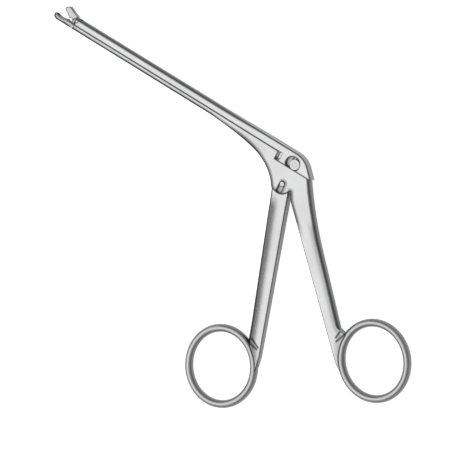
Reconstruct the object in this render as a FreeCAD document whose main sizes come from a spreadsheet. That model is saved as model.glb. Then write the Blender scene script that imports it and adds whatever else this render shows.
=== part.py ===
import FreeCAD, Part
import math
import os
import re
import Sketcher

# Nasal cutting forceps, lying flat. Lengths in millimetres, angles in degrees.
# Drawing frame of every outline: origin on the lever's pivot axis, +X from the jaws towards the grip,
# +Y from the finger rings up to the shafts, +Z out of the flat side that faces up.
# Each sub-part is placed so that the document's origin is the middle of the whole footprint.

Vector = FreeCAD.Vector
Rotation = FreeCAD.Rotation
Placement = FreeCAD.Placement

SIZES = {
    # where the lever's pivot stands from the middle of the footprint
    "pivot_x": 17.22,
    "pivot_y": 39.73,
    # thickness across the flat sides
    "body_thick": 5.2,
    "shaft_thick": 4.0,
    "tip_thick": 3.4,
    "shank_end_thick": 3.7,
    "taper_rear": 12.0,
    "taper_front": 38.0,
    "shank_taper_start": -0.5,
    "rear_shank_angle": 46.0,
    "rear_shank_reach": 86.0,
    "front_shank_angle": 71.3,
    "front_shank_reach": 84.0,
    # clearances
    "slide_gap": 0.06,
    "side_gap": 0.08,
    "pin_gap": 0.04,
    "shoulder_gap": 0.10,
    "travel_gap": 0.10,
    # how far the parts move from open to closed
    "lever_swing_angle": 11.0,
    "jaw_swing_angle": 36.0,
    # shafts, heights above the pivot
    "tip_reach": 119.3,
    "tip_round": 2.1,
    "tip_land": 0.25,
    "shaft_bottom": 8.9,
    "joint_height": 11.0,
    "shaft_top": 14.25,
    "ledge_height": 7.4,
    "edge_break": 0.15,
    "shaft_round": 1.6,
    "belly_round": 1.1,
    "block_round": 0.7,
    # underside of the body, between shaft and nose
    "belly_start": 42.0,
    "belly_long_radius": 110.0,
    "belly_mid_x": 16.5,
    "belly_short_radius": 20.8,
    "belly_end_x": 4.2,
    # nose and crotch of the body
    "nose_radius": 4.0,
    "nose_flat_x": 3.4,
    "nose_flat_y": 3.65,
    "crotch_angle": 12.0,
    "crotch_radius": 0.67,
    "crotch_x": 4.95,
    "crotch_y": 1.6,
    "notch_front": 7.85,
    "block_front": 5.9,
    # slot for the lever's tongue between the cheeks
    "tongue_thick": 1.9,
    "tongue_slot_front": 3.3,
    "tongue_slot_rear": 3.6,
    "tongue_slot_nose": 4.6,
    "pivot_pin_radius": 1.1,
    # rear shank of the body
    "rear_top_x": 9.3,
    "rear_bend_x": 27.4,
    "rear_bend_y": 15.5,
    "rear_back_radius": 175.0,
    "rear_notch_x": 50.0,
    "rear_notch_y": 39.6,
    "rear_inner_x": 6.8,
    "rear_inner_y": 4.6,
    "rear_foot_x": 54.3,
    "rear_foot_y": 52.0,
    "rear_end_x": 62.7,
    "rear_end_y": 56.6,
    "rear_foot_radius": 40.0,
    "rear_back_round": 1.5,
    "front_back_top_round": 1.1,
    "front_back_low_round": 1.8,
    "shank_inner_round": 0.45,
    # front shank and tongue of the lever
    "front_flat_x": 3.3,
    "front_knee_x": 1.2,
    "front_knee_y": 9.4,
    "front_notch_x": 17.3,
    "front_notch_y": 61.9,
    "front_inside_x": 20.6,
    "front_inside_y": 71.5,
    "front_end_x": 27.2,
    "front_end_y": 78.5,
    "front_foot_x": 25.6,
    "front_foot_y": 67.3,
    "front_foot_radius": 65.0,
    "front_back_x": 4.5,
    "front_back_y": 2.9,
    "shoulder_angle": 26.0,
    "tongue_waist": 3.1,
    "tongue_neck_ratio": 0.65,
    "tongue_pivot_radius": 2.9,
    "tongue_root_front": 2.6,
    "tongue_root_rear": 3.3,
    "tongue_root_depth": 5.0,
    # drive pin between lever and slider
    "drive_arm": 9.695,
    "drive_head_radius": 2.0,
    "drive_pin_radius": 0.9,
    "drive_disc_radius": 2.15,
    "drive_disc_thick": 1.4,
    "drive_pin_inset": 0.05,
    "pin_end_round": 0.3,
    "lever_play": 0.10,
    "window_radius": 3.2,
    "window_y": 9.5,
    # rear block of the slider
    "block_back_x": -0.66,
    "block_back_radius": 10.0,
    "block_angle": 46.9,
    "block_lip_x": 9.95,
    "block_lip_rise": 0.25,
    # finger rings
    "ring_major": 15.64,
    "ring_minor": 14.09,
    "ring_wire_wide": 3.3,
    "ring_wire_thick": 4.1,
    "front_ring_x": 12.76,
    "front_ring_y": 79.18,
    "front_ring_angle": 61.2,
    "rear_ring_x": 68.46,
    "rear_ring_y": 43.42,
    "rear_ring_angle": 50.2,
    # jaws
    "hinge_setback": 9.37,
    "hinge_y": 9.95,
    "hinge_pin_radius": 0.55,
    "jaw_arm": 3.0,
    "jaw_pin_radius": 0.5,
    "jaw_pin_play": 0.05,
    "lug_thick": 1.4,
    "lug_radius": 0.95,
    "jaw_pin_long": 3.4,
    "jaw_thick": 2.2,
    "jaw_gap": 0.10,
    "jaw_wall": 0.8,
    "window_ahead": 2.97,
    "rim_height": 11.2,
    "rim_scoop_radius": 5.5,
    "rim_scoop_margin": 0.4,
    "fork_clearance": 1.05,
    "nose_clearance": 0.19,
    "slider_nose_radius": 1.6,
    "blade_clearance": 0.35,
    "blade_bridge_long": 1.0,
    "blade_tip_setback": 1.05,
    "blade_under": 10.45,
    "blade_edge": 10.2,
    "blade_top": 13.9,
    "blade_tip_top": 12.9,
    "blade_nose": 10.9,
    "blade_edge_setback": 1.7,
    "blade_slope_setback": 2.0,
    "blade_shoulder_long": 0.35,
    "blade_shoulder_y": 13.5,
    "blade_bridge": 11.15,
    "blade_overlap": 0.3,
    "blade_round": 0.45,
    # feet that hold the slider down on the lower shaft
    "foot_neck": 1.2,
    "foot_wide": 2.2,
    "foot_long": 4.0,
    "foot_neck_depth": 0.5,
    "foot_depth": 0.6,
    "front_foot_setback": 25.3,
    "rear_foot_station": 30.0,
}


def fill_sheet(document):
    sheet = document.addObject("Spreadsheet::Sheet", "sizes")
    for row, (name, value) in enumerate(SIZES.items(), start=1):
        sheet.set("A%d" % row, name)
        sheet.set("B%d" % row, str(value))
        sheet.setAlias("B%d" % row, name)
    document.recompute()
    return sheet


def named(word):
    return "sizes." + word if word in SIZES else word


def bound(text):
    """The text as an expression on the sheet's cells."""
    return re.sub(r"[a-z][a-z_]*", lambda word: named(word.group()), text)


def amount(text):
    """The number that an expression on the sheet's cells comes to."""
    return float(sheet.evalExpression(bound(text)))


def bind(thing, **properties):
    """Ties properties of a document object to the sheet; two underscores stand for a dot."""
    for name, text in properties.items():
        thing.setExpression(name.replace("__", "."), bound(text))


def place_from_pivot(thing, x, y, z):
    bind(thing, Placement__Base__x="pivot_x + " + x, Placement__Base__y="pivot_y + " + y,
         Placement__Base__z=z)


def new_sketch(body, name, role):
    """A sketch on one of the body's origin planes."""
    sketch = body.newObject("Sketcher::SketchObject", name)
    plane = [item for item in body.Origin.OriginFeatures if item.Role == role][0]
    sketch.AttachmentSupport = [(plane, "")]
    sketch.MapMode = "FlatFace"
    return sketch


def fix_point(sketch, geometry, vertex, x, y):
    """Ties a vertex to expressions for its two coordinates."""
    across = sketch.addConstraint(Sketcher.Constraint("DistanceX", -1, 1, geometry, vertex, amount(x)))
    sketch.setExpression("Constraints[%d]" % across, bound(x))
    along = sketch.addConstraint(Sketcher.Constraint("DistanceY", -1, 1, geometry, vertex, amount(y)))
    sketch.setExpression("Constraints[%d]" % along, bound(y))


def fix_radius(sketch, geometry, radius):
    index = sketch.addConstraint(Sketcher.Constraint("Radius", geometry, amount(radius)))
    sketch.setExpression("Constraints[%d]" % index, bound(radius))


def arc_crest(start, end, radius, side):
    """The middle of the minor arc from start to end, whose centre lies left (+1) or right (-1)."""
    half = (end - start) * 0.5
    left = Vector(-half.y, half.x, 0).normalize()
    rise = math.sqrt(max(radius * radius - half.Length * half.Length, 0))
    return start + half + left * side * (rise - radius)


def draw_outline(sketch, corners):
    """Closed outline. A corner is (x, y), or (x, y, radius, side) where an arc leads to the next one."""
    points = [Vector(amount(corner[0]), amount(corner[1]), 0) for corner in corners]
    ends = []
    for index, corner in enumerate(corners):
        start = points[index]
        end = points[(index + 1) % len(points)]
        if len(corner) == 2:
            edge = sketch.addGeometry(Part.LineSegment(start, end))
            ends.append((edge, 1, 2))
        else:
            crest = arc_crest(start, end, amount(corner[2]), corner[3])
            edge = sketch.addGeometry(Part.Arc(start, crest, end))
            ends.append((edge, 1, 2) if corner[3] > 0 else (edge, 2, 1))
    for index, corner in enumerate(corners):
        edge, first, last = ends[index]
        following, start, _ = ends[(index + 1) % len(ends)]
        sketch.addConstraint(Sketcher.Constraint("Coincident", edge, last, following, start))
        fix_point(sketch, edge, first, corner[0], corner[1])
        if len(corner) > 2:
            fix_radius(sketch, edge, corner[2])


def draw_circle(sketch, x, y, radius):
    centre = Vector(amount(x), amount(y), 0)
    circle = sketch.addGeometry(Part.Circle(centre, Vector(0, 0, 1), amount(radius)))
    fix_point(sketch, circle, 3, x, y)
    fix_radius(sketch, circle, radius)


def rectangle(low_x, low_y, high_x, high_y):
    return [(low_x, low_y), (high_x, low_y), (high_x, high_y), (low_x, high_y)]


def layer(body, name, kind, low, high, corners=None, circle=None):
    """Adds (Pad) or takes away (Pocket) an outline or a circle between two heights."""
    sketch = new_sketch(body, name + "_outline", "XY_Plane")
    bind(sketch, AttachmentOffset__Base__x="pivot_x", AttachmentOffset__Base__y="pivot_y",
         AttachmentOffset__Base__z=low)
    if corners:
        draw_outline(sketch, corners)
    if circle:
        draw_circle(sketch, *circle)
    feature = body.newObject("PartDesign::" + kind, name)
    feature.Profile = sketch
    feature.Reversed = kind == "Pocket"
    bind(feature, Length="(%s) - (%s)" % (high, low))
    document.recompute()
    return feature


def side_cut(body, name, corners, turn="0"):
    """Cuts right through, seen from the side: an outline of (distance along, height) on an upright plane
    through the pivot, which is turned downwards from +X by the given angle."""
    sketch = new_sketch(body, name + "_outline", "XZ_Plane")
    sketch.AttachmentOffset = Placement(Vector(0, 0, 0), Rotation(Vector(0, -1, 0), amount(turn)))
    bind(sketch, AttachmentOffset__Rotation__Angle=turn, AttachmentOffset__Base__x="pivot_x",
         AttachmentOffset__Base__z="-pivot_y")
    draw_outline(sketch, corners)
    feature = body.newObject("PartDesign::Pocket", name)
    feature.Profile = sketch
    feature.Type = "ThroughAll"
    feature.Midplane = True
    document.recompute()
    return feature


def edge_near(shape, x, y, z):
    """The name of the shape's edge that passes nearest to a point."""
    target = Part.Vertex(Vector(amount("pivot_x + " + x), amount("pivot_y + " + y), amount(z)))
    distances = [edge.distToShape(target)[0] for edge in shape.Edges]
    return "Edge%d" % (distances.index(min(distances)) + 1)


def soften(body, name, kind, size, spots):
    """Rounds (Fillet) or breaks (Chamfer) the edges that pass nearest to the given spots."""
    base = body.Tip
    feature = body.newObject("PartDesign::" + kind, name)
    feature.Base = (base, sorted({edge_near(base.Shape, *spot) for spot in spots}))
    if kind == "Fillet":
        bind(feature, Radius=size)
    else:
        bind(feature, Size=size)
    document.recompute()
    return feature


def cut(name, base, tool):
    result = document.addObject("Part::Cut", name)
    result.Base = base
    result.Tool = tool
    document.recompute()
    return result


MIDDLE = "0.5 * body_thick"
TONGUE_LOW = "0.5 * body_thick - 0.5 * tongue_thick"
TONGUE_HIGH = "0.5 * body_thick + 0.5 * tongue_thick"
DRIVE_X = "drive_arm * sin(0.5 * lever_swing_angle)"
DRIVE_Y = "drive_arm * cos(0.5 * lever_swing_angle)"
LUG_LOW = MIDDLE + " - 0.5 * lug_thick"
LUG_HIGH = MIDDLE + " + 0.5 * lug_thick"
SLIDER_TRAVEL = "2 * drive_arm * sin(0.5 * lever_swing_angle)"
HINGE_X = "(hinge_setback - tip_reach)"
JAW_PIN_X = "(hinge_setback - tip_reach + jaw_arm * sin(0.5 * jaw_swing_angle))"
WINDOW_REAR = "(hinge_setback - tip_reach - window_ahead)"
BLADE_ROOT = "(hinge_setback - tip_reach - window_ahead - blade_clearance)"
BLADE_BACK = "(%s + blade_bridge_long)" % BLADE_ROOT
NOSE_FRONT = "(%s + nose_clearance + %s)" % (BLADE_BACK, SLIDER_TRAVEL)
NOSE_TOP = "(%s + slider_nose_radius)" % NOSE_FRONT
FRONT_FOOT = "(tip_reach - front_foot_setback)"
FORK_REAR = "(%s + lug_radius + fork_clearance)" % JAW_PIN_X
BELLY_SIN = "((belly_start - belly_mid_x) / belly_long_radius)"
BELLY_COS = "sqrt(1 - %s * %s)" % (BELLY_SIN, BELLY_SIN)
BELLY_MID_Y = "(shaft_bottom - belly_long_radius * (1 - %s))" % BELLY_COS
BELLY_REACH = "(belly_mid_x - belly_end_x + belly_short_radius * %s)" % BELLY_SIN
BELLY_END_Y = ("(%s - belly_short_radius * %s + sqrt(belly_short_radius * belly_short_radius - %s * %s))"
               % (BELLY_MID_Y, BELLY_COS, BELLY_REACH, BELLY_REACH))
NOSE_BREAK = "sqrt(nose_radius * nose_radius - nose_flat_y * nose_flat_y)"


def flat_sides(x, y, low="0", high="body_thick"):
    """The same spot on the lower and on the upper flat side."""
    return [(x, y, low), (x, y, high)]


def shaft_sides(x, y):
    half = "0.5 * shaft_thick"
    return flat_sides(x, y, MIDDLE + " - " + half, MIDDLE + " + " + half)


def taper_shaft(body):
    """Thins both flat sides from the body down to the shaft and rounds the end of the jaws."""
    half_tip = "0.5 * tip_thick"
    corner = "(%s - tip_land)" % half_tip
    for name, face, sign, side in (("upper_taper", "body_thick", " + ", 1), ("lower_taper", "0", " - ", -1)):
        outside = MIDDLE + sign + "body_thick"
        beyond = "-tip_reach - tip_round"
        side_cut(body, name, [("-taper_rear", face),
                              ("-taper_front", MIDDLE + sign + "0.5 * shaft_thick"),
                              ("-tip_reach + " + corner, MIDDLE + sign + half_tip, "1.2 * " + corner, side),
                              ("-tip_reach", MIDDLE + sign + "tip_land"),
                              (beyond, MIDDLE + sign + "tip_land"),
                              (beyond, outside),
                              ("-taper_rear", outside)])


def taper_shank(body, turn, reach):
    """Thins a shank on both flat sides from the body to its finger ring."""
    for name, face, sign in (("upper_thinning", "body_thick", "+"), ("lower_thinning", "0", "-")):
        outside = MIDDLE + " " + sign + " body_thick"
        side_cut(body, name, [("shank_taper_start", face),
                              (reach, MIDDLE + " " + sign + " 0.5 * shank_end_thick"),
                              (reach, outside),
                              ("shank_taper_start", outside)], turn)


def frame_outline():
    """Lower shaft, body and rear shank in one outline, from the jaw tip along the underside."""
    return [
        ("-tip_reach", "shaft_bottom + tip_round", "tip_round", 1),
        ("-tip_reach + tip_round", "shaft_bottom"),
        ("-belly_start", "shaft_bottom", "belly_long_radius", -1),
        ("-belly_mid_x", BELLY_MID_Y, "belly_short_radius", -1),
        ("-belly_end_x", BELLY_END_Y),
        ("-nose_flat_x", "-nose_flat_y"),
        ("-" + NOSE_BREAK, "-nose_flat_y", "nose_radius", 1),
        ("nose_radius * cos(crotch_angle)", "-nose_radius * sin(crotch_angle)", "crotch_radius", -1),
        ("crotch_x", "-crotch_y"),
        ("rear_inner_x", "-rear_inner_y"),
        ("rear_foot_x", "-rear_foot_y", "rear_foot_radius", 1),
        ("rear_end_x", "-rear_end_y"),
        ("rear_ring_x", "-rear_ring_y"),
        ("rear_notch_x", "-rear_notch_y"),
        ("rear_bend_x", "-rear_bend_y", "rear_back_radius", -1),
        ("rear_top_x", "ledge_height"),
        ("-notch_front", "ledge_height"),
        ("-notch_front", "joint_height"),
        (WINDOW_REAR, "joint_height"),
        (WINDOW_REAR, "rim_height"),
        ("-tip_reach", "rim_height"),
    ]


def tongue_slot():
    """Room for the lever's tongue between the cheeks, open at the nose and at the ledge."""
    return [
        ("-tongue_slot_front", "shaft_top"),
        ("-tongue_slot_front", "-2 * nose_radius"),
        ("tongue_slot_nose", "-2 * nose_radius"),
        ("tongue_slot_nose", "-crotch_y"),
        ("tongue_slot_rear", "0"),
        ("tongue_slot_rear", "shaft_top"),
    ]


def cut_foot_track(body, name, station):
    """T-shaped track in the lower shaft, with a wide opening behind it where the foot drops in."""
    neck = "0.5 * foot_neck + side_gap"
    foot = "0.5 * foot_wide + side_gap"
    floor = "joint_height - slide_gap - foot_neck_depth - foot_depth - slide_gap"
    ceiling = "joint_height - slide_gap - foot_neck_depth + slide_gap"
    front = "-%s - foot_long - travel_gap - %s" % (station, SLIDER_TRAVEL)
    rear = "-%s + travel_gap" % station
    entry = "-%s + foot_long + 2 * travel_gap" % station
    above = "joint_height + foot_depth"
    for part, half, start, top, end in (("entry", foot, rear, above, entry),
                                        ("groove", foot, front, ceiling, entry),
                                        ("neck", neck, front, above, entry)):
        layer(body, name + "_" + part, "Pocket", "%s - (%s)" % (MIDDLE, half), "%s + %s" % (MIDDLE, half),
              corners=rectangle(start, floor, end, top))


def carved_from(base, name):
    """A body that goes on from a finished shape."""
    body = document.addObject("PartDesign::Body", name)
    body.BaseFeature = base
    document.recompute()
    return body


def round_edges(name, base, edges):
    """Rounds edges, each given by a spot near it and the radii at its ends towards the jaws and the grip."""
    rounded = document.addObject("Part::Fillet", name)
    rounded.Base = base
    chosen = []
    for spot, front, rear in edges:
        number = int(edge_near(base.Shape, *spot)[4:])
        edge = base.Shape.Edges[number - 1]
        forward = edge.valueAt(edge.FirstParameter).x < edge.valueAt(edge.LastParameter).x
        radii = (amount(front), amount(rear)) if forward else (amount(rear), amount(front))
        chosen.append((number,) + radii)
    rounded.Edges = chosen
    document.recompute()
    return rounded


def both_sides(x, y, front, rear, low="0", high="body_thick"):
    return [((x, y, low), front, rear), ((x, y, high), front, rear)]


def on_shaft(x, y, front, rear):
    half = "0.5 * shaft_thick"
    return both_sides(x, y, front, rear, MIDDLE + " - " + half, MIDDLE + " + " + half)


def make_fixed_frame():
    plate = document.addObject("PartDesign::Body", "frame_plate_body")
    layer(plate, "frame_plate", "Pad", "0", "body_thick", corners=frame_outline())
    taper_shaft(plate)
    taper_shank(plate, "rear_shank_angle", "rear_shank_reach")
    shaft_middle = "-0.5 * (tip_reach + belly_start)"
    rounded = round_edges(
        "frame_rounded", plate,
        on_shaft(shaft_middle, "shaft_bottom", "belly_round", "belly_round")
        + on_shaft("-0.5 * (belly_start + taper_front)", "shaft_bottom", "belly_round", "belly_round")
        + on_shaft("-0.6 * taper_front", "0.75 * shaft_bottom", "belly_round", "block_round")
        + both_sides("-belly_end_x - 0.3 * belly_mid_x", "0", "block_round", "block_round")
        + both_sides("0.5 * (rear_top_x + rear_bend_x)", "-0.3 * rear_bend_y",
                     "rear_back_round", "rear_back_round")
        + both_sides("0.5 * (rear_notch_x + rear_bend_x)", "-0.5 * (rear_notch_y + rear_bend_y)",
                     "rear_back_round", "rear_back_round")
        + both_sides("0.5 * (rear_inner_x + rear_foot_x)", "-0.5 * (rear_inner_y + rear_foot_y)",
                     "shank_inner_round", "shank_inner_round"))
    body = carved_from(rounded, "frame_body")
    soften(body, "joint_edges", "Chamfer", "edge_break", shaft_sides(shaft_middle, "joint_height"))
    layer(body, "tongue_slot", "Pocket", TONGUE_LOW + " - side_gap", TONGUE_HIGH + " + side_gap",
          corners=tongue_slot())
    seat_radius = "pivot_pin_radius + pin_gap"
    layer(body, "pivot_seat", "Pocket", "0", "body_thick", circle=("0", "0", seat_radius))
    layer(body, "pivot_way_out", "Pocket", "0", "body_thick",
          corners=rectangle("-pivot_pin_radius - pin_gap", "-2 * nose_radius", seat_radius, "0"))
    window_front = "-tip_reach + 1.5 * jaw_wall"
    window_low = MIDDLE + " - 0.5 * jaw_thick - jaw_gap"
    window_high = MIDDLE + " + 0.5 * jaw_thick + jaw_gap"
    side_cut(body, "jaw_window", [
        (window_front, window_high, "jaw_thick", 1),
        (window_front, window_low),
        (WINDOW_REAR, window_low),
        (WINDOW_REAR, window_high)])
    layer(body, "jaw_slot", "Pocket", LUG_LOW + " - side_gap", LUG_HIGH + " + side_gap",
          corners=rectangle(WINDOW_REAR + " - jaw_wall", "0", HINGE_X + " + 1.6 * lug_radius", "shaft_top"))
    layer(body, "hinge_bore", "Pocket", "0", "body_thick",
          circle=(HINGE_X, "hinge_y", "hinge_pin_radius"))
    layer(body, "rim_scoop", "Pocket", "0", "body_thick", corners=[
        (window_front, "rim_height", "rim_scoop_radius", 1),
        (WINDOW_REAR + " - rim_scoop_margin", "rim_height")])
    cut_foot_track(body, "front_track", FRONT_FOOT)
    cut_foot_track(body, "rear_track", "rear_foot_station")
    return body


def slider_outline():
    bottom = "joint_height + slide_gap"
    seat = "ledge_height + slide_gap"
    return [
        (NOSE_TOP, "shaft_top", "slider_nose_radius", 1),
        (NOSE_FRONT, "shaft_top - slider_nose_radius"),
        (NOSE_FRONT, bottom),
        ("-block_front", bottom),
        ("-block_front", seat),
        ("block_lip_x", seat),
        ("block_lip_x", "ledge_height + block_lip_rise"),
        ("block_back_x + block_back_radius * sin(block_angle)",
         "shaft_top - block_back_radius * (1 - cos(block_angle))", "block_back_radius", 1),
        ("block_back_x", "shaft_top")]


def add_foot(body, name, station):
    """A T-shaped foot under the slider, which runs in the track of the lower shaft."""
    bottom = "joint_height + slide_gap"
    neck_end = "joint_height - slide_gap - foot_neck_depth"
    for part, wide, low, high in (("neck", "foot_neck", neck_end, bottom),
                                  ("sole", "foot_wide", neck_end + " - foot_depth", neck_end)):
        layer(body, name + "_" + part, "Pad", MIDDLE + " - 0.5 * " + wide, MIDDLE + " + 0.5 * " + wide,
              corners=rectangle("-%s - foot_long" % station, low, "-" + station, high))


def make_sliding_shaft():
    """Upper shaft: a thin bar with a forked nose, and a deep block over the shoulder of the body."""
    plate = document.addObject("PartDesign::Body", "slider_plate_body")
    layer(plate, "slider_plate", "Pad", "0", "body_thick", corners=slider_outline())
    taper_shaft(plate)
    shaft_middle = "-0.5 * (tip_reach + taper_front)"
    half_turn = "0.5 * block_angle"
    rounded = round_edges(
        "slider_rounded", plate,
        on_shaft(shaft_middle, "shaft_top", "shaft_round", "shaft_round")
        + on_shaft("-0.5 * (taper_rear + taper_front)", "shaft_top", "shaft_round", "block_round")
        + both_sides("-0.5 * block_front", "shaft_top", "block_round", "block_round")
        + both_sides("block_back_x + block_back_radius * sin(%s)" % half_turn,
                     "shaft_top - block_back_radius * (1 - cos(%s))" % half_turn,
                     "block_round", "block_round")
        + both_sides("0.9 * block_lip_x", "1.2 * ledge_height", "block_round", "block_round"))
    body = carved_from(rounded, "slider_body")
    soften(body, "joint_edges", "Chamfer", "edge_break",
           shaft_sides(shaft_middle, "joint_height + slide_gap"))
    for name, low, high in (("upper_window", TONGUE_HIGH + " + side_gap", "body_thick"),
                            ("lower_window", "0", TONGUE_LOW + " - side_gap")):
        layer(body, name, "Pocket", low, high, circle=("0", "window_y", "window_radius"))
    half_slot = "(drive_head_radius + slide_gap)"
    layer(body, "drive_slot", "Pocket", TONGUE_LOW + " - side_gap", TONGUE_HIGH + " + side_gap",
          corners=rectangle(DRIVE_X + " - " + half_slot, "0", DRIVE_X + " + " + half_slot,
                            "drive_arm + drive_head_radius + travel_gap"))
    layer(body, "fork_slot", "Pocket", LUG_LOW + " - side_gap", LUG_HIGH + " + side_gap",
          corners=rectangle(NOSE_FRONT + " - slider_nose_radius", "joint_height", FORK_REAR,
                            "shaft_top + slider_nose_radius"))
    pin_slot = "jaw_pin_radius + pin_gap"
    rest_y = "hinge_y + jaw_arm * cos(0.5 * jaw_swing_angle)"
    for name, height in (("pin_slot_low", rest_y + " - jaw_pin_play"),
                         ("pin_slot_high", "hinge_y + jaw_arm + jaw_pin_play")):
        layer(body, name, "Pocket", "0", "body_thick", circle=(JAW_PIN_X, height, pin_slot))
    layer(body, "pin_slot_middle", "Pocket", "0", "body_thick",
          corners=rectangle(JAW_PIN_X + " - " + pin_slot, rest_y + " - jaw_pin_play",
                            JAW_PIN_X + " + " + pin_slot, "hinge_y + jaw_arm + jaw_pin_play"))
    add_foot(body, "front_foot", FRONT_FOOT)
    add_foot(body, "rear_foot", "rear_foot_station")
    return body


def lever_outline():
    """Front shank of the lever, with a hollow shoulder that turns round the nose of the body."""
    shoulder = "(nose_radius + shoulder_gap)"
    flat_y = "(nose_flat_y + shoulder_gap)"
    return [
        ("-front_flat_x", "-" + flat_y),
        ("-front_knee_x", "-front_knee_y"),
        ("front_notch_x", "-front_notch_y"),
        ("front_inside_x", "-front_inside_y"),
        ("front_end_x", "-front_end_y", "front_foot_radius", 1),
        ("front_foot_x", "-front_foot_y"),
        ("front_back_x", "-front_back_y"),
        (shoulder + " * cos(shoulder_angle)", "-%s * sin(shoulder_angle)" % shoulder, shoulder, -1),
        ("-sqrt(%s * %s - %s * %s)" % (shoulder, shoulder, flat_y, flat_y), "-" + flat_y)]


def tongue_outline():
    """Thin tongue that rises between the cheeks, from the shoulder to the head round the drive pin."""
    return [
        ("-tongue_root_front", "-tongue_root_depth"),
        ("tongue_root_rear", "-tongue_root_depth"),
        ("tongue_root_rear", "-crotch_y"),
        ("tongue_pivot_radius", "0"),
        ("0.5 * tongue_waist + tongue_neck_ratio * " + DRIVE_X, "tongue_neck_ratio * " + DRIVE_Y),
        ("0.5 * tongue_waist + " + DRIVE_X, DRIVE_Y),
        ("-0.5 * tongue_waist + " + DRIVE_X, DRIVE_Y),
        ("-0.5 * tongue_waist + tongue_neck_ratio * " + DRIVE_X, "tongue_neck_ratio * " + DRIVE_Y),
        ("-tongue_pivot_radius", "0")]


def make_front_lever():
    plate = document.addObject("PartDesign::Body", "lever_plate_body")
    layer(plate, "lever_shank", "Pad", "lever_play", "body_thick - lever_play", corners=lever_outline())
    taper_shank(plate, "front_shank_angle", "front_shank_reach")
    rounded = round_edges(
        "lever_rounded", plate,
        both_sides("0.5 * (front_notch_x - front_knee_x)", "-0.5 * (front_notch_y + front_knee_y)",
                   "front_back_top_round", "front_back_low_round")
        + both_sides("0.5 * (front_back_x + front_foot_x)", "-0.5 * (front_back_y + front_foot_y)",
                     "shank_inner_round", "shank_inner_round"))
    body = carved_from(rounded, "lever_body")
    layer(body, "tongue", "Pad", TONGUE_LOW, TONGUE_HIGH, corners=tongue_outline())
    layer(body, "tongue_boss", "Pad", TONGUE_LOW, TONGUE_HIGH, circle=("0", "0", "tongue_pivot_radius"))
    layer(body, "tongue_head", "Pad", TONGUE_LOW, TONGUE_HIGH,
          circle=(DRIVE_X, DRIVE_Y, "drive_head_radius"))
    layer(body, "pivot_bore", "Pocket", "0", "body_thick", circle=("0", "0", "pivot_pin_radius"))
    layer(body, "drive_bore", "Pocket", "0", "body_thick", circle=(DRIVE_X, DRIVE_Y, "drive_pin_radius"))
    return body


def make_ring(name, x, y, turn):
    """Finger ring: an oval wire bent to an oval, lying in the middle of the thickness."""
    path = document.addObject("Part::Ellipse", name + "_path")
    bind(path, MajorRadius="ring_major", MinorRadius="ring_minor")
    wire = document.addObject("Part::Ellipse", name + "_wire")
    bind(wire, MajorRadius="0.5 * ring_wire_thick", MinorRadius="0.5 * ring_wire_wide",
         Placement__Base__x="ring_major")
    wire.Placement.Rotation = Rotation(Vector(1, 1, 1), 240)
    ring = document.addObject("Part::Sweep", name + "_sweep")
    ring.Sections = [wire]
    ring.Spine = (path, ["Edge1"])
    ring.Solid = True
    inside = document.addObject("Part::Extrusion", name + "_inside")
    inside.Base = path
    inside.DirMode = "Custom"
    inside.Dir = Vector(0, 0, 1)
    inside.Solid = True
    inside.Symmetric = True
    bind(inside, LengthFwd="2 * body_thick")
    for solid in (ring, inside):
        place_from_pivot(solid, x, "-" + y, MIDDLE)
        solid.Placement.Rotation = Rotation(Vector(0, 0, -1), amount(turn))
        bind(solid, Placement__Rotation__Angle=turn)
    document.recompute()
    return ring, inside


def join_to_ring(name, shank, ring, inside):
    """Ends a shank on the wire of its ring, face to face along the brazed seam."""
    return cut(name, cut(name + "_end", shank, inside), ring)


def make_pin(name, x, y, radius, low, high, rounding=None):
    """A round pin along Z, with rounded ends where a rounding is given."""
    body = document.addObject("PartDesign::Body", name + "_body")
    layer(body, name + "_bar", "Pad", low, high, circle=(x, y, radius))
    if rounding:
        edge = "%s - %s" % (x, radius)
        soften(body, name + "_ends", "Fillet", rounding, [(edge, y, low), (edge, y, high)])
    return body


def make_disc(name, low, high):
    """Round plate on the end of the drive pin, in the slider's window."""
    body = document.addObject("PartDesign::Body", name + "_body")
    layer(body, name + "_plate", "Pad", low, high, circle=(DRIVE_X, DRIVE_Y, "drive_disc_radius"))
    layer(body, name + "_bore", "Pocket", low, high, circle=(DRIVE_X, DRIVE_Y, "drive_pin_radius"))
    return body


def blade_outline():
    return [
        (BLADE_ROOT, "blade_under"),
        (BLADE_ROOT, "blade_bridge"),
        (BLADE_BACK, "blade_bridge"),
        (BLADE_BACK, "blade_top"),
        (BLADE_ROOT + " - blade_shoulder_long", "blade_shoulder_y"),
        ("blade_slope_setback - tip_reach", "blade_tip_top"),
        ("blade_tip_setback - tip_reach", "blade_nose"),
        ("blade_edge_setback - tip_reach", "blade_edge")]


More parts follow.
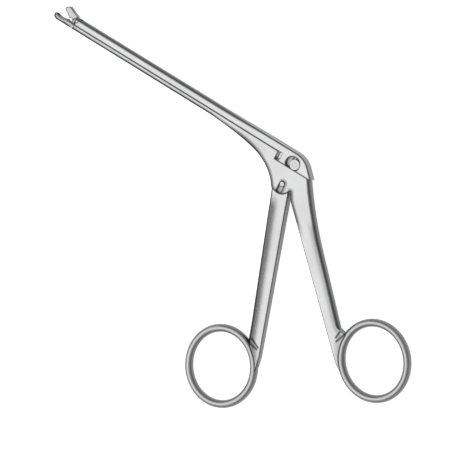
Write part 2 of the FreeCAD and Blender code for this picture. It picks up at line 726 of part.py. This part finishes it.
def make_upper_jaw():
    """Cutting blade and thin lug, drawn closed and then swung open about the hinge."""
    body = document.addObject("PartDesign::Body", "jaw_body")
    half = "0.5 * jaw_thick"
    layer(body, "blade", "Pad", MIDDLE + " - " + half, MIDDLE + " + " + half, corners=blade_outline())
    slope_middle = "0.5 * (%s - blade_shoulder_long + blade_slope_setback - tip_reach)" % BLADE_ROOT
    soften(body, "blade_back_round", "Fillet", "blade_round", [
        (slope_middle, "0.5 * (blade_tip_top + blade_shoulder_y)", MIDDLE + sign + half)
        for sign in (" - ", " + ")])
    nose = "blade_tip_setback - tip_reach + jaw_thick * (1 - cos(30))"
    side_cut(body, "blade_nose_cut", [
        (nose, MIDDLE + " + " + half, "jaw_thick", 1),
        (nose, MIDDLE + " - " + half),
        ("-tip_reach - tip_round", MIDDLE + " - " + half),
        ("-tip_reach - tip_round", MIDDLE + " + " + half)])
    arm_x = HINGE_X + " - jaw_arm * sin(0.5 * jaw_swing_angle)"
    arm_y = "hinge_y + jaw_arm * cos(0.5 * jaw_swing_angle)"
    side_x = "lug_radius * cos(0.5 * jaw_swing_angle)"
    side_y = "lug_radius * sin(0.5 * jaw_swing_angle)"
    layer(body, "lug_strap", "Pad", LUG_LOW, LUG_HIGH, corners=[
        (HINGE_X + " - " + side_x, "hinge_y - " + side_y),
        (HINGE_X + " + " + side_x, "hinge_y + " + side_y),
        (arm_x + " + " + side_x, arm_y + " + " + side_y),
        (arm_x, arm_y + " + lug_radius"),
        (BLADE_BACK + " - blade_overlap", arm_y + " + lug_radius"),
        (BLADE_BACK + " - blade_overlap", "blade_bridge")])
    layer(body, "lug_foot", "Pad", LUG_LOW, LUG_HIGH, circle=(HINGE_X, "hinge_y", "lug_radius"))
    layer(body, "lug_head", "Pad", LUG_LOW, LUG_HIGH, circle=(arm_x, arm_y, "lug_radius"))
    layer(body, "hinge_eye", "Pocket", LUG_LOW, LUG_HIGH,
          circle=(HINGE_X, "hinge_y", "hinge_pin_radius + pin_gap"))
    layer(body, "drive_eye", "Pocket", LUG_LOW, LUG_HIGH, circle=(arm_x, arm_y, "jaw_pin_radius"))
    body.Placement.Rotation = Rotation(Vector(0, 0, -1), amount("jaw_swing_angle"))
    centre_x = "(pivot_x + %s)" % HINGE_X
    centre_y = "(pivot_y + hinge_y)"
    bind(body, Placement__Rotation__Angle="jaw_swing_angle",
         Placement__Base__x="%s * (1 - cos(jaw_swing_angle)) - %s * sin(jaw_swing_angle)" % (centre_x, centre_y),
         Placement__Base__y="%s * (1 - cos(jaw_swing_angle)) + %s * sin(jaw_swing_angle)" % (centre_y, centre_x))
    document.recompute()
    return body


def make_parts():
    """All sub-parts under the names that they keep."""
    front_ring, inside_front = make_ring("front_ring", "front_ring_x", "front_ring_y", "front_ring_angle")
    rear_ring, inside_rear = make_ring("rear_ring", "rear_ring_x", "rear_ring_y", "rear_ring_angle")
    pin_low = MIDDLE + " - 0.5 * jaw_pin_long"
    pin_high = MIDDLE + " + 0.5 * jaw_pin_long"
    disc_top = "body_thick - drive_pin_inset"
    return {
        "fixed_frame": join_to_ring("frame_cut", make_fixed_frame(), rear_ring, inside_rear),
        "rear_finger_ring": rear_ring,
        "front_lever": join_to_ring("lever_cut", make_front_lever(), front_ring, inside_front),
        "front_finger_ring": front_ring,
        "sliding_shaft": make_sliding_shaft(),
        "upper_jaw": make_upper_jaw(),
        "jaw_hinge_pin": make_pin("hinge_pin", HINGE_X, "hinge_y", "hinge_pin_radius", pin_low, pin_high),
        "jaw_drive_pin": make_pin("jaw_pin", JAW_PIN_X, "hinge_y + jaw_arm * cos(0.5 * jaw_swing_angle)",
                                  "jaw_pin_radius", pin_low, pin_high),
        "lever_pivot_pin": make_pin("pivot_pin", "0", "0", "pivot_pin_radius", "lever_play",
                                    "body_thick - lever_play", "pin_end_round"),
        "drive_pin": make_pin("drive_pin_bar", DRIVE_X, DRIVE_Y, "drive_pin_radius", "drive_pin_inset",
                              disc_top),
        "drive_disc_near": make_disc("near_disc", disc_top + " - drive_disc_thick", disc_top),
        "drive_disc_far": make_disc("far_disc", "drive_pin_inset", "drive_pin_inset + drive_disc_thick"),
    }


def write_parts(parts):
    """Names the sub-parts, makes sure that each of them is sound and writes its file."""
    document.recompute()
    for thing in document.Objects:
        if "Invalid" in thing.State or "Error" in thing.State:
            raise RuntimeError("%s is not computed: %s" % (thing.Name, thing.State))
    os.makedirs("parts", exist_ok=True)
    for name, thing in parts.items():
        thing.Label = name
        if thing.Shape.isNull() or not thing.Shape.isValid() or len(thing.Shape.Solids) != 1:
            raise RuntimeError("%s is not one sound solid" % name)
        thing.Shape.exportStep("parts/%s.step" % name)
        print(name, round(thing.Shape.Volume, 2))


document = FreeCAD.newDocument("forceps")
sheet = fill_sheet(document)
sub_parts = make_parts()
write_parts(sub_parts)
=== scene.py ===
import math

import bpy
from mathutils import Matrix, Vector


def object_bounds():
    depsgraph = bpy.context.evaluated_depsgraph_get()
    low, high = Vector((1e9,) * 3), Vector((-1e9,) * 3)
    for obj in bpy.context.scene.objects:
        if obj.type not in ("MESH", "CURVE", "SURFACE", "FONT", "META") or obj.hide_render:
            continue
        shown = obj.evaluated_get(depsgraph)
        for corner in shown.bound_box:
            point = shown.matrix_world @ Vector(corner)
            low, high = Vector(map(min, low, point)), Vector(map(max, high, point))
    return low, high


# Nasal cutting forceps lying flat on a pale floor, seen by a distant camera. Lengths in metres.
# The frame's origin is the middle of the footprint: +X towards the grip, +Y up to the shafts, +Z up.

# The photograph, and the camera that took it.
PHOTO_PIXELS = 450
PIXEL = 0.0004062                 # length that one pixel of the photograph covers
PIVOT = Vector((0.01722, 0.03973, 0.0052))   # the lever's pivot, on the face that shows
PIVOT_PIXEL = (281.7, 184.1)      # and where the photograph has it
PHOTO_RIGHT = Vector((0.8761, 0.4821, 0.0))
PHOTO_UP = Vector((-0.4821, 0.8761, 0.0))
FACE_UP = Vector((0.0, 0.0, 1.0))
LEAN_RIGHT = math.radians(20.0)   # how far the camera stands to the photograph's right
LEAN_UP = math.radians(5.5)       # and above it
CAMERA_DISTANCE = 5.0
SENSOR_MM = 36.0
CLIP_START = 0.1
CLIP_END = 100.0

FLOOR_SIZE = 6.0
FLOOR_DROP = 0.0001
FLOOR_COLOUR = (0.93, 0.93, 0.93, 1.0)
BACKGROUND_GLOW = 0.70            # what the floor adds for rays that see it as the background

WORLD_COLOUR = (1.0, 1.0, 1.0, 1.0)
WORLD_STRENGTH = 0.62

SOFTBOX_PLACE = (-0.35, -0.15, 1.1)
SOFTBOX_SIZE = 1.5
SOFTBOX_POWER = 4.2
SIDE_BOX_PLACE = (-1.3, 0.5, 0.6)
SIDE_BOX_SIZE = 0.7
SIDE_BOX_POWER = 1.0

# The dark end of every painted shade.
PAINTED_SHADE_BLACK = (0.0, 0.0, 0.0, 1.0)
EVEN = (1.0, 1.0, 1.0)
ALONG_X = (1.0, 8.0, 8.0)         # draws the grain out along X

# The steels: colour, range of roughness, scale and stretch of the grain, strength of the relief, and
# how far in from an edge the painted shade of the wall reaches.
BODY_LOOK = {"colour": (0.70, 0.70, 0.705, 1.0), "roughness": (0.22, 0.30), "grain": 2500.0,
             "stretch": EVEN, "relief": 0.25, "edge": 0.0009}
RING_LOOK = {"colour": (0.60, 0.60, 0.605, 1.0), "roughness": (0.20, 0.28), "grain": 1800.0,
             "stretch": EVEN, "relief": 0.15, "edge": 0.0002}
JAW_LOOK = {"colour": (0.62, 0.62, 0.63, 1.0), "roughness": (0.20, 0.30), "grain": 1500.0,
            "stretch": ALONG_X, "relief": 0.20, "edge": 0.0010}
PIN_LOOK = {"colour": (0.64, 0.64, 0.65, 1.0), "roughness": (0.20, 0.30), "grain": 2500.0,
            "stretch": EVEN, "relief": 0.15, "edge": 0.0002}

GRAIN_DETAIL = 4.0
BLAST_SCALE = 9000.0
BLAST_DETAIL = 2.0
SMUDGE_SCALE = 60.0
SMUDGE_DETAIL = 5.0
SMUDGE_SHADE = 0.86
SMUDGE_ROUGHNESS = (-0.025, 0.035)
NOISE_RANGE = (0.3, 0.7)          # the part of a noise's range that is spread out
FLAT_EXTRA_ROUGHNESS = 0.08
GRAIN_SHARE = 0.6                 # how deep the grain is, beside the blasting
RELIEF_DEPTH = 0.00002

# Painted wall shade: lightness over the upright part of the normal, nought on a wall and one on a flat
# side.
BEVEL_SAMPLES = 8
PAINTED_EDGE_SHADE_STOPS = ((0.0, 0.29), (0.35, 0.19), (0.8, 0.16), (0.95, 0.46), (0.995, 1.0))
PAINTED_SHANK_SHADE_STOPS = ((0.0, 0.19), (0.35, 0.17), (0.8, 0.16), (0.95, 0.46), (0.995, 1.0))
PAINTED_WIRE_SHADE_STOPS = ((0.0, 0.34), (0.4, 0.27), (0.8, 0.40), (0.95, 0.76), (1.0, 1.0))

# Painted shade under things: lightness over how far the surface turns down; the flat underside is as
# light as the top.
PAINTED_UNDER_SHADE_STOPS = ((0.0, 1.0), (0.12, 0.30), (0.85, 0.30), (0.97, 1.0))

HOLLOW_DEPTH = 0.0018             # slots up to about this wide get painted shade
HOLLOW_POWER = 1.1
PAINTED_HOLLOW_SHADE = 0.15
HOLLOW_SAMPLES = 8

# Painted shade along rounded sides, darker than the blasted flats: how far in from the edge it
# reaches, the way the side faces, where along Y it ends, and the lightness over how far the surface
# leans that way.
SIDE_SHADE_FADE = 0.009                 # length over which a side's painted shade begins and ends
LEVER_FRONT_SHADE = {"reach": 0.0060, "towards": (-0.94, -0.34, 0.0), "low": -0.10, "high": 0.036,
                    "stops": ((0.0, 1.0), (0.015, 0.88), (0.035, 0.76), (0.10, 0.42), (0.16, 0.22),
                              (0.4, 0.20), (1.0, 0.7))}
GRIP_REAR_SHADE = {"reach": 0.0045, "towards": (0.72, 0.70, 0.0), "low": -0.10, "high": 0.034,
                  "stops": ((0.0, 1.0), (0.04, 0.95), (0.12, 0.78), (0.2, 0.6), (0.33, 0.45),
                            (0.6, 0.85), (1.0, 1.0))}
BELLY_SHADE = {"reach": 0.0022, "towards": (-0.60, -0.80, 0.0), "low": 0.024, "high": 0.10,
              "stops": ((0.0, 1.0), (0.04, 0.76), (0.10, 0.34), (0.3, 0.24), (0.6, 0.24),
                        (1.0, 0.6))}

# Painted shade along the creases where the ring wires run out on the shanks: pairs of ends in X and Y.
CREASE_SHADE_REACH = 0.0007               # how far a crease's painted shade reaches to either side of its line
CREASE_SHADE_CORE = 0.25                  # share of the reach that is fully dark
CREASE_SHADE_FULL = 0.8                   # share of the length after which it begins to fade
PAINTED_CREASE_SHADE = 0.25
FRONT_CREASES = (((0.0346, -0.0241), (0.0413, -0.0254)), ((0.0356, -0.0220), (0.0413, -0.0247)))
REAR_CREASES = (((0.0678, 0.0001), (0.0672, -0.0043)), ((0.0701, 0.0001), (0.0679, -0.0056)))

FRAME_NODES = ("fixed_frame",)
SLIDER_NODES = ("sliding_shaft",)
LEVER_NODES = ("front_lever",)
RING_NODES = ("front_finger_ring", "rear_finger_ring")
JAW_NODES = ("upper_jaw",)
PIN_NODES = ("jaw_hinge_pin", "jaw_drive_pin", "lever_pivot_pin", "drive_pin",
             "drive_disc_near", "drive_disc_far")

# Sockets of a Mix node set to colours, where the names A, B and Result stand for several sockets.
MIX_FIRST = 6
MIX_SECOND = 7
MIX_RESULT = 2


def new_material(name):
    """A material with an empty node tree and its output."""
    material = bpy.data.materials.new(name)
    material.use_nodes = True
    tree = material.node_tree
    tree.nodes.clear()
    output = tree.nodes.new("ShaderNodeOutputMaterial")
    return material, tree, output


def noise(tree, coordinates, scale, detail, stretch=EVEN):
    """Noise in the object's own space; a stretch above one makes it finer along that axis."""
    mapping = tree.nodes.new("ShaderNodeMapping")
    mapping.inputs["Scale"].default_value = stretch
    texture = tree.nodes.new("ShaderNodeTexNoise")
    texture.inputs["Scale"].default_value = scale
    texture.inputs["Detail"].default_value = detail
    tree.links.new(coordinates, mapping.inputs["Vector"])
    tree.links.new(mapping.outputs["Vector"], texture.inputs["Vector"])
    return texture.outputs["Fac"]


def spread(tree, value, low, high):
    """Maps a noise value onto a range."""
    remap = tree.nodes.new("ShaderNodeMapRange")
    remap.inputs["From Min"].default_value = NOISE_RANGE[0]
    remap.inputs["From Max"].default_value = NOISE_RANGE[1]
    remap.inputs["To Min"].default_value = low
    remap.inputs["To Max"].default_value = high
    tree.links.new(value, remap.inputs["Value"])
    return remap.outputs["Result"]


def fade(tree, value, nought, one):
    """Nought at the first value and one at the second, held beyond them."""
    remap = tree.nodes.new("ShaderNodeMapRange")
    remap.interpolation_type = "SMOOTHSTEP"
    remap.inputs["From Min"].default_value = nought
    remap.inputs["From Max"].default_value = one
    tree.links.new(value, remap.inputs["Value"])
    return remap.outputs["Result"]


def combine(tree, operation, first, second=0.0):
    """One arithmetic step on two values, each a number or the output of a node."""
    node = tree.nodes.new("ShaderNodeMath")
    node.operation = operation
    for socket, value in zip(node.inputs, (first, second)):
        if isinstance(value, float):
            socket.default_value = value
        else:
            tree.links.new(value, socket)
    return node.outputs["Value"]


def ramp(tree, value, stops):
    """Lightness over a value; each stop is a place on the ramp and its lightness."""
    node = tree.nodes.new("ShaderNodeValToRGB")
    node.color_ramp.interpolation = "EASE"
    while len(node.color_ramp.elements) < len(stops):
        node.color_ramp.elements.new(0.5)
    for element, (position, lightness) in zip(node.color_ramp.elements, stops):
        element.position = position
        element.color = (lightness, lightness, lightness, 1.0)
    tree.links.new(value, node.inputs["Fac"])
    return node.outputs["Color"]


def rounded_normal(tree, radius):
    """Normal of the surface as if its edges were rounded off by the radius."""
    bevel = tree.nodes.new("ShaderNodeBevel")
    bevel.samples = BEVEL_SAMPLES
    bevel.inputs["Radius"].default_value = radius
    return bevel.outputs["Normal"]


def split(tree, vector):
    """The X, Y and Z outputs of a vector."""
    parts = tree.nodes.new("ShaderNodeSeparateXYZ")
    tree.links.new(vector, parts.inputs["Vector"])
    return parts.outputs


def painted_side_shade(tree, place, side):
    """Lightness of the painted shade on a rounded side: one on flats, on other sides and beyond its
    two ends.
    """
    lean = tree.nodes.new("ShaderNodeVectorMath")
    lean.operation = "DOT_PRODUCT"
    lean.inputs[1].default_value = side["towards"]
    tree.links.new(rounded_normal(tree, side["reach"]), lean.inputs[0])
    along = split(tree, place)["Y"]
    above = fade(tree, along, side["low"], side["low"] + SIDE_SHADE_FADE)
    below = fade(tree, along, side["high"], side["high"] - SIDE_SHADE_FADE)
    within = combine(tree, "MULTIPLY", above, below)
    beyond = combine(tree, "SUBTRACT", 1.0, within)
    return combine(tree, "MAXIMUM", ramp(tree, lean.outputs["Value"], side["stops"]), beyond)


def painted_crease_shade(tree, place, ends):
    """Painted crease shade: one on the surface and darker along a straight line, which fades out
    towards its end.
    """
    (start_x, start_y), (end_x, end_y) = ends
    crease = tree.nodes.new("ShaderNodeMapping")
    crease.vector_type = "TEXTURE"
    crease.inputs["Location"].default_value = (start_x, start_y, 0.0)
    crease.inputs["Rotation"].default_value = (0.0, 0.0, math.atan2(end_y - start_y, end_x - start_x))
    tree.links.new(place, crease.inputs["Vector"])
    parts = split(tree, crease.outputs["Vector"])
    length = math.hypot(end_x - start_x, end_y - start_y)
    near = fade(tree, combine(tree, "ABSOLUTE", parts["Y"]), CREASE_SHADE_REACH, CREASE_SHADE_CORE * CREASE_SHADE_REACH)
    begun = fade(tree, parts["X"], 0.0, CREASE_SHADE_REACH)
    going = fade(tree, parts["X"], length, CREASE_SHADE_FULL * length)
    mask = combine(tree, "MULTIPLY", near, combine(tree, "MULTIPLY", begun, going))
    return ramp(tree, mask, ((0.0, 1.0), (1.0, PAINTED_CREASE_SHADE)))


def hollow_shade_mask(tree):
    """Painted hollow shade mask: one out in the open, falling towards nought in slots narrower than
    the hollow depth.
    """
    node = tree.nodes.new("ShaderNodeAmbientOcclusion")
    node.samples = HOLLOW_SAMPLES
    node.inputs["Distance"].default_value = HOLLOW_DEPTH
    return combine(tree, "POWER", node.outputs["AO"], HOLLOW_POWER)


def mix_colours(tree, factor, first, second):
    """The first colour at factor nought and the second one at factor one."""
    node = tree.nodes.new("ShaderNodeMix")
    node.data_type = "RGBA"
    for socket, colour in ((node.inputs[MIX_FIRST], first), (node.inputs[MIX_SECOND], second)):
        if isinstance(colour, tuple):
            socket.default_value = colour
        else:
            tree.links.new(colour, socket)
    tree.links.new(factor, node.inputs["Factor"])
    return node.outputs[MIX_RESULT]


def darker(colour, share):
    """The colour with each of its parts brought down to a share."""
    return tuple(share * part for part in colour[:3]) + (1.0,)


def steel(name, look, stops, painted_sides=(), creases=()):
    """Matt blasted flats with smoother edges and walls in painted shade, faint smudges and painted
    shade in hollows.

    Surfaces that turn towards the floor get deeper painted shade.
    """
    material, tree, output = new_material(name)
    shader = tree.nodes.new("ShaderNodeBsdfPrincipled")
    shader.inputs["Metallic"].default_value = 1.0
    place = tree.nodes.new("ShaderNodeTexCoord").outputs["Object"]
    drawn = noise(tree, place, look["grain"], GRAIN_DETAIL, look["stretch"])
    blasted = noise(tree, place, BLAST_SCALE, BLAST_DETAIL)
    smudges = noise(tree, place, SMUDGE_SCALE, SMUDGE_DETAIL)
    # Painted shade on edges and walls, from how far the rounded normal stands up.
    standing = split(tree, rounded_normal(tree, look["edge"]))["Z"]
    edges = ramp(tree, combine(tree, "ABSOLUTE", standing), stops)

    rough = spread(tree, drawn, *look["roughness"])
    rough = combine(tree, "ADD", rough, spread(tree, smudges, *SMUDGE_ROUGHNESS))
    rough = combine(tree, "ADD", rough, combine(tree, "MULTIPLY", edges, FLAT_EXTRA_ROUGHNESS))
    tree.links.new(rough, shader.inputs["Roughness"])

    colour = look["colour"]
    toned = mix_colours(tree, spread(tree, smudges, 0.0, 1.0), darker(colour, SMUDGE_SHADE), colour)
    # Painted shades, each darkening the colour: edges and walls, surfaces that turn down, rounded
    # sides and ring creases.
    painted_shades = [edges, ramp(tree, combine(tree, "SUBTRACT", 0.0, standing), PAINTED_UNDER_SHADE_STOPS)]
    painted_shades += [painted_side_shade(tree, place, side) for side in painted_sides]
    painted_shades += [painted_crease_shade(tree, place, ends) for ends in creases]
    for painted_shade in painted_shades:
        toned = mix_colours(tree, painted_shade, PAINTED_SHADE_BLACK, toned)
    # Painted shade in the hollows.
    shaded = mix_colours(tree, hollow_shade_mask(tree), darker(colour, PAINTED_HOLLOW_SHADE), toned)
    tree.links.new(shaded, shader.inputs["Base Color"])

    height = combine(tree, "ADD", combine(tree, "MULTIPLY", drawn, GRAIN_SHARE), blasted)
    relief = tree.nodes.new("ShaderNodeBump")
    relief.inputs["Strength"].default_value = look["relief"]
    relief.inputs["Distance"].default_value = RELIEF_DEPTH
    tree.links.new(height, relief.inputs["Height"])
    tree.links.new(relief.outputs["Normal"], shader.inputs["Normal"])
    tree.links.new(shader.outputs["BSDF"], output.inputs["Surface"])
    return material


def frame_steel():
    """The frame, with painted shade along the rear shank and the belly and along the rear ring's
    creases.
    """
    return steel("frame_steel", BODY_LOOK, PAINTED_SHANK_SHADE_STOPS, (GRIP_REAR_SHADE, BELLY_SHADE), REAR_CREASES)


def slider_steel():
    """The sliding shaft."""
    return steel("slider_steel", BODY_LOOK, PAINTED_EDGE_SHADE_STOPS)


def lever_steel():
    """The lever, with painted shade along its front and along the front ring's creases."""
    return steel("lever_steel", BODY_LOOK, PAINTED_SHANK_SHADE_STOPS, (LEVER_FRONT_SHADE,), FRONT_CREASES)


def ring_steel():
    """Both ring wires, with painted shade along the creases where they run out on the shanks."""
    return steel("ring_steel", RING_LOOK, PAINTED_WIRE_SHADE_STOPS, (), FRONT_CREASES + REAR_CREASES)


def jaw_steel():
    """The cutting jaw, ground lengthwise."""
    return steel("jaw_steel", JAW_LOOK, PAINTED_EDGE_SHADE_STOPS)


def pin_steel():
    """Pins and discs."""
    return steel("pin_steel", PIN_LOOK, PAINTED_WIRE_SHADE_STOPS)


def floor_material():
    """Matt white that glows a little where it is the background, so that it keeps the shadow."""
    material, tree, output = new_material("floor_white")
    matt = tree.nodes.new("ShaderNodeBsdfDiffuse")
    matt.inputs["Color"].default_value = FLOOR_COLOUR
    glow = tree.nodes.new("ShaderNodeEmission")
    rays = tree.nodes.new("ShaderNodeLightPath")
    seen = combine(tree, "MAXIMUM", rays.outputs["Is Camera Ray"], rays.outputs["Is Glossy Ray"])
    seen = combine(tree, "MAXIMUM", seen, rays.outputs["Is Transmission Ray"])
    tree.links.new(combine(tree, "MULTIPLY", seen, BACKGROUND_GLOW), glow.inputs["Strength"])
    both = tree.nodes.new("ShaderNodeAddShader")
    tree.links.new(matt.outputs["BSDF"], both.inputs[0])
    tree.links.new(glow.outputs["Emission"], both.inputs[1])
    tree.links.new(both.outputs["Shader"], output.inputs["Surface"])
    return material


def dress(nodes, material):
    """Gives the nodes' meshes the material in place of their own."""
    for name in nodes:
        mesh = bpy.data.objects[name].data
        mesh.materials.clear()
        mesh.materials.append(material)


def add_floor(low):
    """A floor just under the lowest point."""
    bpy.ops.mesh.primitive_plane_add(size=FLOOR_SIZE, location=(0.0, 0.0, low - FLOOR_DROP))
    floor = bpy.context.object
    floor.name = "floor"
    floor.data.materials.append(floor_material())


def light_world():
    """Even white light from all round."""
    world = bpy.data.worlds.new("studio")
    bpy.context.scene.world = world
    world.use_nodes = True
    background = world.node_tree.nodes["Background"]
    background.inputs["Color"].default_value = WORLD_COLOUR
    background.inputs["Strength"].default_value = WORLD_STRENGTH


def add_softbox(name, place, size, power):
    """A square area lamp that looks at the middle of the object."""
    lamp = bpy.data.lights.new(name, "AREA")
    lamp.size = size
    lamp.energy = power
    box = bpy.data.objects.new(name, lamp)
    box.location = place
    box.rotation_euler = (-Vector(place)).to_track_quat("-Z", "Y").to_euler()
    bpy.context.scene.collection.objects.link(box)


def add_camera():
    """Stands the camera where the photograph was taken, with the lever's pivot on its pixel."""
    right = math.cos(LEAN_RIGHT) * PHOTO_RIGHT - math.sin(LEAN_RIGHT) * FACE_UP
    back = (math.sin(LEAN_RIGHT) * math.cos(LEAN_UP) * PHOTO_RIGHT + math.sin(LEAN_UP) * PHOTO_UP
            + math.cos(LEAN_RIGHT) * math.cos(LEAN_UP) * FACE_UP)
    up = back.cross(right)
    middle = PHOTO_PIXELS / 2
    aim = (PIVOT - (PIVOT_PIXEL[0] - middle) * PIXEL * right
           - (middle - PIVOT_PIXEL[1]) * PIXEL * up)
    data = bpy.data.cameras.new("camera")
    data.sensor_width = SENSOR_MM
    data.lens = SENSOR_MM * CAMERA_DISTANCE / (PHOTO_PIXELS * PIXEL)
    data.clip_start = CLIP_START
    data.clip_end = CLIP_END
    camera = bpy.data.objects.new("camera", data)
    turn = Matrix((right, up, back)).transposed()
    camera.matrix_world = Matrix.Translation(aim + CAMERA_DISTANCE * back) @ turn.to_4x4()
    bpy.context.scene.collection.objects.link(camera)
    bpy.context.scene.camera = camera


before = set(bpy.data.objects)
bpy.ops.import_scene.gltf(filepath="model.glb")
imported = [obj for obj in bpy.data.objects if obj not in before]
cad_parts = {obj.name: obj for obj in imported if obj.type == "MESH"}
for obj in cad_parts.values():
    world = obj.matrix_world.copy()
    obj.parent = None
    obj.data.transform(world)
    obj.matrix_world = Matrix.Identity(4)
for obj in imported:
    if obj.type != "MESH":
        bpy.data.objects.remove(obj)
cad_box = [list(corner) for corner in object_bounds()]

dress(FRAME_NODES, frame_steel())
dress(SLIDER_NODES, slider_steel())
dress(LEVER_NODES, lever_steel())
dress(RING_NODES, ring_steel())
dress(JAW_NODES, jaw_steel())
dress(PIN_NODES, pin_steel())

add_floor(cad_box[0][2])
light_world()
add_softbox("softbox_top", SOFTBOX_PLACE, SOFTBOX_SIZE, SOFTBOX_POWER)
add_softbox("softbox_side", SIDE_BOX_PLACE, SIDE_BOX_SIZE, SIDE_BOX_POWER)
add_camera()
bpy.context.scene.view_settings.view_transform = "Standard"
